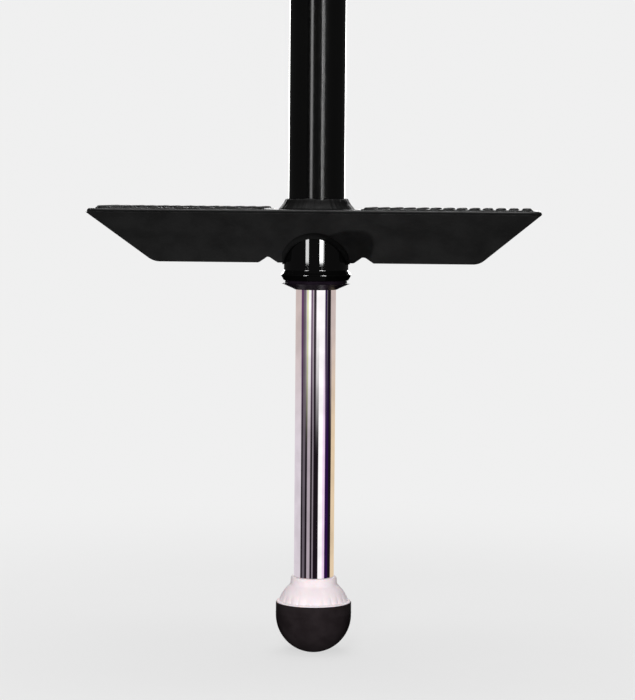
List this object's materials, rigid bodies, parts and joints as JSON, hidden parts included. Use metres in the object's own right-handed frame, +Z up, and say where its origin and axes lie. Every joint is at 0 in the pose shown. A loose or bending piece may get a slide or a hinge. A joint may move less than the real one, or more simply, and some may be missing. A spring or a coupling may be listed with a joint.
{
  "type": "pogo stick",
  "caption": "Spring pogo stick: black steel tube with a wide foot platform, T handlebar, chrome sliding lower tube and a round rubber bumper.",
  "frame": {"origin": "on the ground under the bumper, on the stick's axis, with the slider fully out", "axes": "+Z up along the stick, X along the foot platform and the handlebar, -Y the front"},
  "size_m": [0.3028, 0.078, 1.01],
  "materials": {
    "black_gloss": "gloss black powder coat",
    "black_satin": "satin black powder coat",
    "black_tread": "satin black coat over raised lugs",
    "black_weld": "satin black coat over a weld bead",
    "chrome": "bright hard chrome, ground and polished",
    "seal_rubber": "semi-gloss black rubber",
    "bumper_rubber": "matte black moulded rubber",
    "damper_rubber": "matte",
    "grip_rubber": "matte ribbed rubber",
    "pale_plastic": "pale fluted moulding, slightly glossy",
    "black_plastic": "moulded, fine grain",
    "nylon": "natural nylon",
    "spring_steel": "oiled spring wire",
    "plain_steel": "turned steel",
    "zinc_steel": "bright zinc plate"
  },
  "bodies": {
    "stick": {"main_tube": "black_gloss", "lower_sleeve": "black_gloss", "foot_platform": "black_satin", "tread_left": "black_tread", "tread_right": "black_tread", "platform_weld": "black_weld", "sleeve_weld_front": "black_weld", "sleeve_weld_back": "black_weld", "lower_bush": "nylon", "rubber_seal": "seal_rubber", "rebound_damper": "damper_rubber", "upper_spring_seat": "nylon", "spring_bolt": "zinc_steel", "bolt_washers": "zinc_steel", "lock_nut": "zinc_steel", "handlebar": "black_gloss", "handlebar_weld_left": "black_weld", "handlebar_weld_right": "black_weld", "top_cap": "black_plastic", "grip_left": "grip_rubber", "grip_right": "grip_rubber", "bar_plug_left": "black_plastic", "bar_plug_right": "black_plastic", "main_spring": "spring_steel"},
    "spring_cup": {"spring_cup": "plain_steel"},
    "slider": {"slider_tube": "chrome", "piston_bush": "nylon", "piston_pin": "plain_steel", "slider_top_plug": "plain_steel", "slider_end_plug": "plain_steel", "bumper_stud": "plain_steel", "bumper_tip": "bumper_rubber", "bumper_collar": "pale_plastic"}
  },
  "joints": [
    {"name": "slider_stroke", "type": "slide", "parent": "stick", "child": "spring_cup", "axis": [0, 0, 1], "range_m": [0, 0.15], "stiffness_N_per_m": 12800, "springref_m": -0.02, "deforming": ["main_spring"]},
    {"name": "slider_spin", "type": "hinge", "parent": "spring_cup", "child": "slider", "pos_m": [0, 0, 0.3], "axis": [0, 0, 1], "continuous": true}
  ]
}
